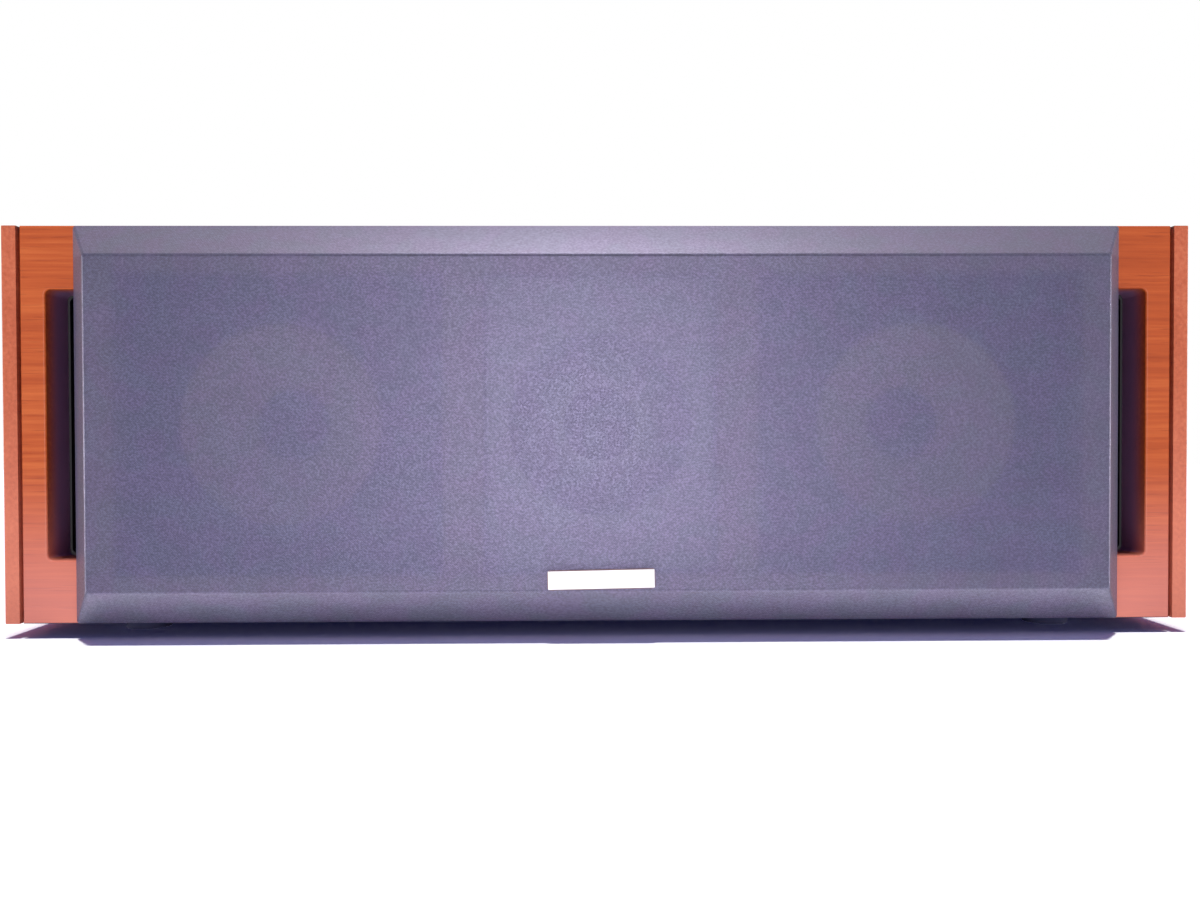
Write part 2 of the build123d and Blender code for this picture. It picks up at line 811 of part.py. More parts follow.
# Tweeter dome: one formed piece, a dome, a seat for the coil, a small roll and a flange
seat_radius = dome_radius + dome_seat_width
dome_sphere = (dome_radius**2 + dome_rise**2) / (2 * dome_rise)
dome_base = -boss_depth
with BuildPart() as tweeter_dome:
    with BuildSketch(turning_plane(0)):
        with Locations((0, dome_base + dome_rise - dome_sphere)):
            Circle(dome_sphere)
            Circle(dome_sphere - dome_thickness, mode=Mode.SUBTRACT)
        with Locations((0, dome_base)):
            Rectangle(dome_radius, dome_sphere, align=(Align.MIN, Align.MIN), mode=Mode.INTERSECT)
        with Locations((dome_radius - dome_thickness, dome_base)):
            Rectangle(dome_seat_width + dome_thickness, dome_thickness, align=(Align.MIN, Align.MAX))
        with Locations((seat_radius, dome_base)):
            Rectangle(
                dome_flange_radius - seat_radius, dome_thickness, align=(Align.MIN, Align.MAX)
            )
    revolve(axis=driver_axis(0))
    with BuildSketch(turning_plane(0)):
        with Locations((seat_radius + dome_roll_radius, dome_base - dome_thickness)):
            Circle(dome_roll_radius)
            Rectangle(
                2 * dome_roll_radius,
                2 * dome_roll_radius,
                align=(Align.CENTER, Align.MIN),
                mode=Mode.INTERSECT,
            )
    revolve(axis=driver_axis(0))
keep(tweeter_dome, "tweeter_dome")

# Tweeter coil and magnet system
tweeter_coil_depth = boss_depth + dome_thickness
tweeter_coil_bore = dome_radius + (dome_seat_width - tweeter_former_wall) / 2
tweeter_gap_radius = tweeter_coil_bore + tweeter_former_wall + gap_clearance
tweeter_magnet_depth = tweeter_coil_depth + tweeter_plate_ring_thickness
tweeter_yoke_depth = tweeter_magnet_depth + tweeter_magnet_thickness
with BuildPart() as tweeter_voice_coil:
    with BuildSketch(front_plane(tweeter_coil_depth)):
        Circle(tweeter_coil_bore + tweeter_former_wall)
        Circle(tweeter_coil_bore, mode=Mode.SUBTRACT)
    extrude(amount=-tweeter_coil_length)
keep(tweeter_voice_coil, "tweeter_voice_coil")

with BuildPart() as tweeter_top_plate:
    with BuildSketch(front_plane(tweeter_coil_depth)):
        Circle(tweeter_plate_ring_radius)
        Circle(tweeter_gap_radius, mode=Mode.SUBTRACT)
    extrude(amount=-tweeter_plate_ring_thickness)
keep(tweeter_top_plate, "tweeter_top_plate")

with BuildPart() as tweeter_magnet:
    with BuildSketch(front_plane(tweeter_magnet_depth)):
        Circle(tweeter_magnet_radius)
        Circle(tweeter_magnet_bore_radius, mode=Mode.SUBTRACT)
    extrude(amount=-tweeter_magnet_thickness)
keep(tweeter_magnet, "tweeter_magnet")

with BuildPart() as tweeter_yoke:
    with BuildSketch(front_plane(tweeter_yoke_depth)):
        Circle(tweeter_yoke_radius)
    extrude(amount=-tweeter_yoke_thickness)
    with BuildSketch(front_plane(tweeter_yoke_depth)):
        Circle(tweeter_coil_bore - pole_clearance)
    extrude(amount=tweeter_yoke_depth - tweeter_coil_depth - tweeter_pole_drop)
keep(tweeter_yoke, "tweeter_yoke")

# Tweeter screws: one near each corner of the plate
with BuildPart() as tweeter_screws:
    with BuildSketch(front_plane(0)):
        with GridLocations(
            tweeter_plate_width - 2 * tweeter_screw_margin,
            tweeter_plate_height - 2 * tweeter_screw_margin,
            2,
            2,
        ):
            Circle(screw_head_radius)
    extrude(amount=screw_head_height)
    with BuildSketch(front_plane(0)):
        with GridLocations(
            tweeter_plate_width - 2 * tweeter_screw_margin,
            tweeter_plate_height - 2 * tweeter_screw_margin,
            2,
            2,
        ):
            Circle(screw_radius)
    extrude(amount=-screw_length)
keep(tweeter_screws, "tweeter_screws")

# Terminal cup: a moulded recess through the rear panel, flanged on the outside
with BuildPart() as terminal_cup:
    with BuildSketch(rear_plane(rear_face_y)):
        RectangleRounded(cup_width + 2 * cup_flange, cup_height + 2 * cup_flange, cup_corner)
    extrude(amount=cup_flange_thickness)
    with BuildSketch(rear_plane(rear_face_y)):
        RectangleRounded(cup_width, cup_height, cup_corner)
    extrude(amount=-cup_depth)
    with BuildSketch(rear_plane(rear_face_y + cup_flange_thickness)):
        RectangleRounded(cup_width - 2 * cup_wall, cup_height - 2 * cup_wall, cup_corner - cup_wall)
    extrude(amount=cup_floor - cup_depth - cup_flange_thickness, mode=Mode.SUBTRACT)
    with BuildSketch(rear_plane(cup_floor_y)):
        with GridLocations(post_spacing, 0, 2, 1):
            Circle(post_radius + screw_clearance)
    extrude(amount=-cup_floor, mode=Mode.SUBTRACT)
    with BuildSketch(rear_plane(rear_face_y + cup_flange_thickness)):
        with GridLocations(cup_screw_x, cup_screw_z, 2, 2):
            Circle(screw_radius + screw_clearance)
    extrude(amount=-cup_flange_thickness, mode=Mode.SUBTRACT)
    with BuildSketch(rear_plane(rear_face_y + cup_flange_thickness)):
        with GridLocations(cup_screw_x, cup_screw_z, 2, 2):
            Circle(screw_head_radius + screw_clearance)
    extrude(amount=screw_radius - screw_head_radius, taper=countersink_slope, mode=Mode.SUBTRACT)
keep(terminal_cup, "terminal_cup")

# Terminal screws: countersunk, one in each corner of the cup's flange
with BuildPart() as terminal_screws:
    with BuildSketch(rear_plane(rear_face_y + cup_flange_thickness)):
        with GridLocations(cup_screw_x, cup_screw_z, 2, 2):
            Circle(screw_radius)
    extrude(amount=-cup_screw_length - cup_flange_thickness + pilot_spare)
    with BuildSketch(rear_plane(rear_face_y + cup_flange_thickness)):
        with GridLocations(cup_screw_x, cup_screw_z, 2, 2):
            Circle(screw_head_radius)
    extrude(amount=screw_radius - screw_head_radius, taper=countersink_slope)
keep(terminal_screws, "terminal_screws")

# Binding posts: a collared stud with a plug bore and a wire hole, held by a nut inside; a knob screws on it
for side, colour in ((-1, "red"), (1, "black")):
    post_x = side * post_spacing / 2
    with BuildPart() as post:
        with BuildSketch(rear_plane(cup_floor_y, post_x)):
            Circle(post_collar_radius)
        extrude(amount=post_collar_thickness)
        with BuildSketch(rear_plane(cup_floor_y, post_x)):
            Circle(post_radius)
        extrude(amount=post_collar_thickness + post_stud_length)
        with BuildSketch(rear_plane(cup_floor_y, post_x)):
            Circle(post_radius)
        extrude(amount=-cup_floor - post_tail_length)
        with BuildSketch(rear_plane(collar_y + post_stud_length, post_x)):
            Circle(plug_bore_radius)
        extrude(amount=-plug_bore_depth, mode=Mode.SUBTRACT)
        with BuildSketch(Plane.YZ.offset(post_x)):
            with Locations((collar_y + wire_hole_height, mid_z)):
                Circle(wire_hole_radius)
        extrude(amount=post_radius, both=True, mode=Mode.SUBTRACT)
    keep(post, f"{colour}_post")
    knob_y = collar_y + knob_gap
    with BuildPart() as knob:
        with BuildSketch(rear_plane(knob_y, post_x)):
            RegularPolygon(knob_radius, knob_sides)
        extrude(amount=knob_length)
        chamfer(knob.faces().sort_by(Axis.Y)[-1].edges(), knob_chamfer)
        with BuildSketch(rear_plane(knob_y, post_x)):
            Circle(post_radius + knob_clearance)
        extrude(amount=knob_length - knob_end_wall, mode=Mode.SUBTRACT)
        with BuildSketch(rear_plane(knob_y, post_x)):
            Circle(knob_mouth_radius)
        extrude(amount=knob_length, mode=Mode.SUBTRACT)
    keep(knob, f"{colour}_knob")

# Post nuts: hexagons that clamp the posts to the cup's floor from inside
with BuildPart() as post_nuts:
    with BuildSketch(rear_plane(cup_floor_y - cup_floor)):
        with GridLocations(post_spacing, 0, 2, 1):
            RegularPolygon(nut_radius, nut_sides)
            Circle(post_radius + seat_clearance, mode=Mode.SUBTRACT)
    extrude(amount=-nut_thickness)
keep(post_nuts, "post_nuts")

# Crossover: a board on four snap pillars, with its coils and capacitors
pillar_spread_x = crossover_length - 2 * pillar_inset
pillar_spread_y = crossover_width - 2 * pillar_inset
with BuildPart() as crossover_board:
    with BuildSketch(crossover_plane(pillar_height)):
        Rectangle(crossover_length, crossover_width)
        with GridLocations(pillar_spread_x, pillar_spread_y, 2, 2):
            Circle(pillar_pin_radius + screw_clearance, mode=Mode.SUBTRACT)
    extrude(amount=crossover_thickness)
keep(crossover_board, "crossover_board")

with BuildPart() as board_pillars:
    with BuildSketch(crossover_plane(0)):
        with GridLocations(pillar_spread_x, pillar_spread_y, 2, 2):
            Circle(pillar_radius)
    extrude(amount=pillar_height)
    with BuildSketch(crossover_plane(0)):
        with GridLocations(pillar_spread_x, pillar_spread_y, 2, 2):
            Circle(pillar_pin_radius)
    extrude(amount=crossover_top + pillar_pin_rise)
keep(board_pillars, "board_pillars")


def build_inductor(label, radius, height, x, y):
    with BuildPart() as inductor:
        for level, disc_radius, disc_height in (
            (0, radius, spool_flange),
            (spool_flange, radius - spool_lip, height - 2 * spool_flange),
            (height - spool_flange, radius, spool_flange),
        ):
            with BuildSketch(crossover_plane(crossover_top + level, x, y)):
                Circle(disc_radius)
                Circle(spool_bore_radius, mode=Mode.SUBTRACT)
            extrude(amount=disc_height)
    keep(inductor, label)


def build_capacitor(label, radius, length, x, y):
    end = (x - length / 2, crossover_y + y, inner_floor_z + crossover_top + radius + seat_clearance)
    with BuildPart() as capacitor:
        with BuildSketch(Plane(origin=end, x_dir=(0, 1, 0), z_dir=(1, 0, 0))):
            Circle(radius)
        extrude(amount=length)
        chamfer(capacitor.edges().filter_by(GeomType.CIRCLE), capacitor_edge)
    keep(capacitor, label)


woofer_coil_x = pillar_inset + pillar_radius + woofer_inductor_radius - crossover_length / 2
tweeter_coil_x = crossover_length / 2 - pillar_inset - pillar_radius - tweeter_inductor_radius
front_row_y = -woofer_capacitor_radius
back_row_y = crossover_width / 2 - woofer_capacitor_radius
build_inductor("woofer_inductor", woofer_inductor_radius, woofer_inductor_height, woofer_coil_x, front_row_y)
build_inductor(
    "tweeter_inductor", tweeter_inductor_radius, tweeter_inductor_height, tweeter_coil_x, woofer_capacitor_radius
)
build_capacitor("woofer_capacitor", woofer_capacitor_radius, woofer_capacitor_length, woofer_coil_x, back_row_y)
build_capacitor(
    "tweeter_capacitor",
    tweeter_capacitor_radius,
    tweeter_capacitor_length,
    tweeter_coil_x,
    front_row_y - tweeter_capacitor_radius,
)


# Leads: insulated wires in straight runs joined by arcs as large as the runs allow
def build_leads(label, routes):
    with BuildPart() as leads:
        for route in routes:
            points = [Vector(point) for point in route]
            bends = []
            for before, corner, after in zip(points, points[1:], points[2:]):
                turn = (corner - before).get_angle(after - corner)
                run = min((corner - before).length, (after - corner).length)
                bends.append(bend_share * run / tan(radians(turn / 2)))
            print(label, "bend radii", [round(bend, 1) for bend in bends])
            with BuildLine():
                FilletPolyline(*points, radius=bends)
            with BuildSketch(Plane(origin=points[0], z_dir=points[1] - points[0])):
                Circle(lead_radius)
            sweep()
    keep(leads, label)


pad_z = inner_floor_z + crossover_top + lead_gap
tail_y = cup_floor_y - cup_floor - post_tail_length - lead_gap
input_drop_y = tail_y - lead_exit - input_lead_setback
post_leads = []
for side in (-1, 1):
    start_x = side * post_spacing / 2
    post_leads.append(
        [
            (start_x, tail_y, mid_z),
            (start_x, tail_y - lead_exit, mid_z),
            (start_x + input_lead_shift, input_drop_y, mid_z - input_lead_drop),
            (start_x + input_lead_shift, input_drop_y, pad_z),
        ]
    )
build_leads("input_leads", post_leads)

for side, name in ends:
    tag_x = side * (woofer_offset - tag_reach - lead_gap)
    tag_y = face_y + tag_depth
    lead_pad_x = side * woofer_lead_x
    lead_pad_y = crossover_y - woofer_lead_setback
    build_leads(
        f"{name}_woofer_lead",
        [
            [
                (tag_x, tag_y, mid_z),
                (tag_x - side * lead_exit, tag_y, mid_z),
                (lead_pad_x, lead_pad_y, pad_z + woofer_lead_rise),
                (lead_pad_x, lead_pad_y, pad_z),
            ]
        ],
    )

boss_y = face_y + boss_depth + lead_gap
tweeter_lead_z = mid_z - (boss_radius + tweeter_plate_ring_radius) / 2
tweeter_drop_y = boss_y + tweeter_lead_exit + tweeter_lead_setback
build_leads(
    "tweeter_lead",
    [
        [
            (0, boss_y, tweeter_lead_z),
            (0, boss_y + tweeter_lead_exit, tweeter_lead_z),
            (tweeter_lead_x, tweeter_drop_y, tweeter_lead_z - tweeter_lead_drop),
            (tweeter_lead_x, tweeter_drop_y, pad_z),
        ]
    ],
)

# Damping pads: soft felt on the rear panel behind each woofer
with BuildPart() as damping_pads:
    with BuildSketch(rear_plane(rear_face_y - rear_thickness - pad_gap)):
        with GridLocations(2 * pad_offset, 0, 2, 1):
            RectangleRounded(pad_width, pad_height, pad_corner)
    extrude(amount=-pad_thickness)
keep(damping_pads, "damping_pads")
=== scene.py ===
import math
import bmesh
import bpy
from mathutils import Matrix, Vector


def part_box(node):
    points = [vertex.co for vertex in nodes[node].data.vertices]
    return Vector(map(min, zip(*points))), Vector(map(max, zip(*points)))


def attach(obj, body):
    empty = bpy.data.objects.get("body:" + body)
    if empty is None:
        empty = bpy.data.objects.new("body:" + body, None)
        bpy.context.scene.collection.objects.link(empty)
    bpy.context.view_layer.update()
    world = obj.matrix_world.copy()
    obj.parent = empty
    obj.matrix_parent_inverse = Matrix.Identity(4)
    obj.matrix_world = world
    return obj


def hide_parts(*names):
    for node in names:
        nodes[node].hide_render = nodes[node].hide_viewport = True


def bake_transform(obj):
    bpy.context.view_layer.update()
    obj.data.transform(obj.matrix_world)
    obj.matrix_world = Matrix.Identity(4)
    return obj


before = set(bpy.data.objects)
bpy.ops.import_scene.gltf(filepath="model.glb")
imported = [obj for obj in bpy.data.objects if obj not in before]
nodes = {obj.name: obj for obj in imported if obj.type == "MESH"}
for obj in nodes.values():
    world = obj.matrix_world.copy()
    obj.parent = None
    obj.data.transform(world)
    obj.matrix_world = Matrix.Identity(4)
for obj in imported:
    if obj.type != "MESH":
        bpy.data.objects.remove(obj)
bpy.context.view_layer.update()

mm = 0.001


# Cabinet sleeve: four fibreboard panels with mitred ends, glued into a tube.
# They are wrapped in cherry veneer with the grain along the cabinet, under a satin lacquer.
# The bottom panel's underside is left dark.
class Signal:
    """One output in a material's node tree. Arithmetic on it adds Math nodes."""

    def __init__(self, socket):
        self.socket = socket

    def node(self, kind, settings, inputs, output=0):
        """Add a node of any kind: its settings first, then its inputs as values or links."""
        tree = self.socket.id_data
        made = tree.nodes.new("ShaderNode" + kind)
        for name, value in settings.items():
            if name == "stops":
                ramp = made.color_ramp.elements
                while len(ramp) < len(value):
                    ramp.new(0.5)
                for stop, (position, colour) in zip(ramp, value):
                    stop.position = position
                    stop.color = colour
            else:
                setattr(made, name, value)
        for name, value in inputs.items():
            if isinstance(value, Signal):
                tree.links.new(value.socket, made.inputs[name])
            else:
                made.inputs[name].default_value = value
        return Signal(made.outputs[output])

    def math(self, operation, *others):
        return self.node("Math", {"operation": operation}, dict(enumerate((self, *others))))

    def __add__(self, other):
        return self.math("ADD", other)

    __radd__ = __add__

    def __sub__(self, other):
        return self.math("SUBTRACT", other)

    def __rsub__(self, other):
        return self.node("Math", {"operation": "SUBTRACT"}, {0: other, 1: self})

    def __mul__(self, other):
        return self.math("MULTIPLY", other)

    __rmul__ = __mul__

    def axis(self, letter):
        """One coordinate of a vector."""
        return self.node("SeparateXYZ", {}, {"Vector": self}, letter)

    def between(self, low, high):
        """0 below low, 1 above high, and a smooth step from one to the other."""
        settings = {"interpolation_type": "SMOOTHSTEP"}
        return self.node("MapRange", settings, {"Value": self, "From Min": low, "From Max": high})

    def into(self, shader, name):
        self.socket.id_data.links.new(self.socket, shader.inputs[name])


def new_finish(name, fixed):
    """A material with one Principled shader. Returns it, the shader and the object coordinates."""
    finish = bpy.data.materials.new(name)
    finish.use_nodes = True
    shader = finish.node_tree.nodes["Principled BSDF"]
    for socket, value in fixed.items():
        shader.inputs[socket].default_value = value
    place = Signal(finish.node_tree.nodes.new("ShaderNodeTexCoord").outputs["Object"])
    return finish, shader, place


def grain(place, stretch, scale, detail=2.0, distortion=0.0):
    """Noise on coordinates that are stretched by a share along each axis."""
    stretched = place.node("Mapping", {}, {"Vector": place, "Scale": stretch})
    inputs = {"Vector": stretched, "Scale": scale, "Detail": detail, "Distortion": distortion}
    return place.node("TexNoise", {}, inputs)


def mix(share, first, second):
    """Colour that goes from the first to the second as the share goes from 0 to 1."""
    return share.node("Mix", {"data_type": "RGBA"}, {0: share, 6: first, 7: second}, 2)


def bump(height, shader, depth):
    """Raise the shader's surface by a height signal times a depth in metres."""
    made = height.node("Bump", {}, {"Height": height, "Distance": depth, "Strength": 1.0})
    made.into(shader, "Normal")


def dress(finish, *names):
    """Give CAD nodes a finish."""
    for name in names:
        nodes[name].material_slots[0].material = finish


def cherry(place, stretch, pinkness=0.0):
    """Colour, roughness and height of cherry veneer, whose fibres run where the stretch is small."""
    figure = grain(place, stretch, 70.0, 3.0, 0.8)
    fibre = grain(place, stretch, 640.0, 3.0)
    pore = grain(place, stretch, 1500.0, 1.0).between(0.62, 0.74)
    tone = 0.4 * figure + 0.6 * fibre
    cherry_stops = [
        (0.30, (0.385, 0.062, 0.012, 1)),
        (0.50, (0.490, 0.088, 0.017, 1)),
        (0.70, (0.600, 0.134, 0.029, 1)),
    ]
    pore_brown = (0.24, 0.036, 0.010, 1)
    end_grain_pink = (0.66, 0.24, 0.17, 1)
    colour = tone.node("ValToRGB", {"stops": cherry_stops}, {"Fac": tone})
    colour = mix(0.45 * pore, colour, pore_brown)
    colour = mix(tone * 2 * pinkness, colour, end_grain_pink)
    return colour, 0.36 + 0.14 * fibre, fibre - 0.6 * pore


def lacquered(colour, roughness, height, shader):
    """Join a veneer's colour, roughness and height to its shader."""
    fibre_depth = 0.05 * mm
    colour.into(shader, "Base Color")
    roughness.into(shader, "Roughness")
    bump(height, shader, fibre_depth)


def below_edge(up, lowest):
    """1 on a board's bottom face, and 0 from just above its lower edge."""
    edge_start, edge_end = 0.2 * mm, 0.6 * mm
    return 1 - (up - lowest).between(edge_start, edge_end)


satin = {"Specular IOR Level": 0.2, "Coat Weight": 0.08, "Coat Roughness": 0.3}
grain_along_x = (0.035, 1.0, 1.0)
sleeve_veneer, shader, place = new_finish("cherry_sleeve", satin)
lacquered(*cherry(place, grain_along_x), shader)
dress(sleeve_veneer, "top_panel", "left_side_wall", "right_side_wall")
bottom_low, bottom_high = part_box("bottom_panel")
bottom_dark = (0.012, 0.012, 0.016, 1)
bottom_foil, shader, place = new_finish("cherry_bottom", satin)
colour, roughness, height = cherry(place, grain_along_x)
underside = below_edge(place.axis("Z"), bottom_low.z)
lacquered(mix(underside, colour, bottom_dark), roughness, height, shader)
dress(bottom_foil, "bottom_panel")

# Front baffle: one thick veneered board over the sleeve, cut for the slots, drivers and grille pegs.
# Its ends show as cherry beside the grille, paler and pinker towards the bottom: painted light from the
# floor.
# Behind the grille it is painted matt black. The slots' walls are dark violet-brown and darken with depth:
# partly a dark stain, partly painted shade.
baffle_low, baffle_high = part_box("front_baffle")
grille_low, grille_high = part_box("grille_cloth")
mid_z = (baffle_low.z + baffle_high.z) / 2
grille_half = grille_high.z - mid_z
paint_margin = 4 * mm
paint_edge = 0.9 * paint_margin
slot_reach = 60 * mm
slot_half = 54.5 * mm
slot_ledge = 1 * mm
slot_shade_start = 0.3 * mm
slot_shade_full = 12 * mm
slot_stain_and_shade_colour = (0.30, 0.155, 0.28, 1)
matt_black = (0.040, 0.036, 0.046, 1)
floor_glow_height = 70 * mm
floor_glow_share = 0.68
floor_glow_pink = (0.72, 0.26, 0.21, 1)
baffle_veneer, shader, place = new_finish("cherry_baffle", satin)
colour, roughness, height = cherry(place, grain_along_x)
up = place.axis("Z")
off_centre = place.axis("X").math("ABSOLUTE")
off_middle = (up - mid_z).math("ABSOLUTE")
behind_grille = 1 - off_centre.between(grille_high.x - paint_margin, grille_high.x - paint_edge)
behind_grille = behind_grille * (1 - off_middle.between(grille_half - paint_margin, grille_half))
# Painted shade in the slots, over a dark stain: the walls darken with depth, and on the slot's floor the
# shade starts deeper.
ledge = (mid_z - up).between(slot_half - slot_ledge, slot_half)
slot_stain_and_shade_share = (place.axis("Y") - baffle_low.y - ledge * slot_shade_full).between(slot_shade_start, slot_shade_full)
slot_stain_and_shade_share = slot_stain_and_shade_share * (1 - off_middle.between(slot_reach, slot_reach + paint_margin))
# Painted light from the floor: the veneer grows paler and pinker towards the bottom.
floor_glow = 1 - up.between(baffle_low.z, baffle_low.z + floor_glow_height)
colour = mix(floor_glow_share * floor_glow, colour, floor_glow_pink)
colour = mix(slot_stain_and_shade_share, colour, slot_stain_and_shade_colour)
colour = mix(behind_grille.math("MAXIMUM", below_edge(up, baffle_low.z)), colour, matt_black)
lacquered(colour, roughness + 0.25 * behind_grille.math("MAXIMUM", slot_stain_and_shade_share), height, shader)
dress(baffle_veneer, "front_baffle")

# Cheeks: end boards in the same veneer, standing off by a narrow dark groove.
# Their grain runs from front to back, so their front edges are end grain, plainer and pinker.
grain_along_y = (1.0, 0.035, 1.0)
end_grain_share = 0.22
cheek_glow_height = 1.5 * floor_glow_height
cheek_glow_share = 0.45
cheek_glow_pink = (0.82, 0.29, 0.20, 1)
cheek_veneer, shader, place = new_finish("cherry_cheek", satin)
colour, roughness, height = cherry(place, grain_along_y, end_grain_share)
# Painted light from the floor: the cheeks, too, grow paler and pinker towards the bottom.
floor_glow = 1 - place.axis("Z").between(baffle_low.z, baffle_low.z + cheek_glow_height)
lacquered(mix(cheek_glow_share * floor_glow, colour, cheek_glow_pink), roughness, height, shader)
dress(cheek_veneer, "left_cheek", "right_cheek")

# Port ducts: thin moulded tubes glued behind the slots, in matt black plastic.
# A fine spark-eroded grain from the mould keeps them from shining.
even = (1.0, 1.0, 1.0)


def moulded(name, colour, roughness, grain_size=0.5 * mm, depth=0.03 * mm):
    """A moulded material with a fine grain and slightly uneven gloss."""
    finish, shader, place = new_finish(name, {"Specular IOR Level": 0.4})
    sparks = grain(place, even, 1 / grain_size, 2.0)
    cloud = grain(place, even, 25.0, 2.0)
    pale = tuple(1.35 * c + 0.006 for c in colour)
    mix(0.6 * cloud + 0.3 * sparks, (*colour, 1), (*pale, 1)).into(shader, "Base Color")
    (roughness - 0.06 + 0.12 * cloud).into(shader, "Roughness")
    bump(sparks, shader, depth)
    return finish


dress(moulded("black_duct_plastic", (0.006, 0.005, 0.008), 0.6), "left_port_duct", "right_port_duct")

# Feet: four low tapered pads of dark rubber, stuck under the bottom panel.
# Their navy tint is painted shade, matching the blue shadow they stand in. The rubber is dull, with a dusty
# bloom.
dress(moulded("navy_shade_foot_rubber", (0.028, 0.028, 0.075), 0.8, 0.8 * mm, 0.05 * mm), "feet")

# Rear panel: fibreboard faced with black textured vinyl, set into the back of the sleeve.
# The vinyl has a coarse leather-like print that breaks up its sheen.
vinyl_pit, vinyl_crest = (0.010, 0.010, 0.011, 1), (0.030, 0.029, 0.031, 1)
vinyl, shader, place = new_finish("black_vinyl", {"Specular IOR Level": 0.35})
cells = place.node("TexVoronoi", {"feature": "DISTANCE_TO_EDGE"}, {"Vector": place, "Scale": 620.0})
pits = cells.between(0.02, 0.22)
cloud = grain(place, even, 14.0, 3.0)
mix(0.5 * pits + 0.4 * cloud, vinyl_pit, vinyl_crest).into(shader, "Base Color")
(0.62 - 0.16 * pits).into(shader, "Roughness")
bump(pits, shader, 0.12 * mm)
dress(vinyl, "rear_panel")

# Terminal cup: a moulded black recess through the rear panel, with a flange that four screws hold.
# Its floor carries two binding posts of gold-plated brass, with nuts inside.
dress(moulded("black_cup_plastic", (0.020, 0.020, 0.021), 0.45), "terminal_cup")


def metal(name, colour, roughness):
    """Bare or plated metal with faint machining marks and smudges."""
    finish, shader, place = new_finish(name, {"Metallic": 1.0})
    marks = grain(place, even, 900.0, 2.0)
    smudge = grain(place, even, 60.0, 3.0)
    dull = tuple(0.72 * c for c in colour)
    mix(0.5 * marks + 0.4 * smudge, (*colour, 1), (*dull, 1)).into(shader, "Base Color")
    (roughness - 0.08 + 0.18 * smudge).into(shader, "Roughness")
    bump(marks, shader, 0.01 * mm)
    return finish


dress(metal("gold_plated_brass", (0.80, 0.58, 0.24), 0.28), "red_post", "black_post", "post_nuts")


# Knobs: twelve-sided caps of clear-coated plastic that screw down on the posts, red and black.
# They are glossy, with fine scuffs from fingers.
def glossy(name, colour):
    """Glossy plastic with a few scuffs."""
    finish, shader, place = new_finish(name, {"Coat Weight": 0.4, "Coat Roughness": 0.12})
    scuffs = grain(place, (1.0, 0.15, 1.0), 700.0, 2.0).between(0.55, 0.75)
    cloud = grain(place, even, 90.0, 2.0)
    worn = tuple(0.8 * c + 0.02 for c in colour)
    mix(0.5 * scuffs + 0.3 * cloud, (*colour, 1), (*worn, 1)).into(shader, "Base Color")
    (0.24 + 0.2 * scuffs).into(shader, "Roughness")
    bump(scuffs, shader, 0.01 * mm)
    return finish


dress(glossy("red_knob_plastic", (0.42, 0.012, 0.010)), "red_knob")
dress(glossy("black_knob_plastic", (0.016, 0.016, 0.017)), "black_knob")

# Screws: black-plated steel, into the baffle round the drivers and into the rear panel round the cup.
# The plating is thin and satin, with faint marks from driving.
black_plate = metal("black_plated_steel", (0.06, 0.06, 0.062), 0.42)
dress(black_plate, "woofer_screws", "tweeter_screws", "terminal_screws")

# Crossover: a phenolic board on plastic pillars, with air-cored copper coils and film capacitors.
# The coils are wound in layers, so the light catches fine level rings on them.
phenolic, shader, place = new_finish("crossover_phenolic", {})
fibre = grain(place, (1.0, 0.2, 1.0), 800.0, 2.0)
mix(fibre, (0.20, 0.11, 0.045, 1), (0.30, 0.18, 0.08, 1)).into(shader, "Base Color")
(0.45 + 0.15 * fibre).into(shader, "Roughness")
bump(fibre, shader, 0.02 * mm)
dress(phenolic, "crossover_board")
dress(moulded("white_pillar_plastic", (0.60, 0.60, 0.58), 0.5), "board_pillars")
winding, shader, place = new_finish("enamelled_copper_winding", {"Metallic": 1.0})
turns = place.node("TexWave", {"bands_direction": "Z"}, {"Vector": place, "Scale": 320.0, "Distortion": 0.4})
mix(turns, (0.36, 0.11, 0.04, 1), (0.80, 0.36, 0.18, 1)).into(shader, "Base Color")
(0.42 - 0.14 * turns).into(shader, "Roughness")
bump(turns, shader, 0.15 * mm)
dress(winding, "woofer_inductor", "tweeter_inductor")
dress(glossy("capacitor_yellow", (0.55, 0.36, 0.03)), "woofer_capacitor", "tweeter_capacitor")

# Leads: insulated stranded wire between the posts, the crossover and the drivers.
# They are sleeved in soft red plastic, dull and slightly dusty.
dress(
    moulded("lead_insulation", (0.10, 0.018, 0.016), 0.5),
    "input_leads", "left_woofer_lead", "right_woofer_lead", "tweeter_lead",
)

# Woofers: a black steel basket, a yellowish fibre cone and a dark dust cap.
# Behind each are the coil on its former and the ferrite magnet between two zinc-plated plates.
# The tweeter's coil, magnet and plates are of the same kinds.
dress(
    moulded("black_basket_enamel", (0.016, 0.016, 0.017), 0.4, 1.2 * mm),
    "left_woofer_basket", "right_woofer_basket",
)
cone_fibre, shader, place = new_finish("pulp_cone", {"Sheen Weight": 0.2})
felted = grain(place, even, 900.0, 4.0, 1.2)
cloud = grain(place, even, 60.0, 3.0)
mix(0.5 * felted + 0.5 * cloud, (0.46, 0.36, 0.15, 1), (0.66, 0.55, 0.29, 1)).into(shader, "Base Color")
(0.72 + 0.15 * felted).into(shader, "Roughness")
bump(felted, shader, 0.08 * mm)
dress(cone_fibre, "left_woofer_cone", "right_woofer_cone")
dress(
    moulded("dark_dust_cap_paper", (0.030, 0.028, 0.030), 0.75, 0.7 * mm, 0.06 * mm),
    "left_woofer_dust_cap", "right_woofer_dust_cap",
)
dress(winding, "left_woofer_voice_coil", "right_woofer_voice_coil", "tweeter_voice_coil")
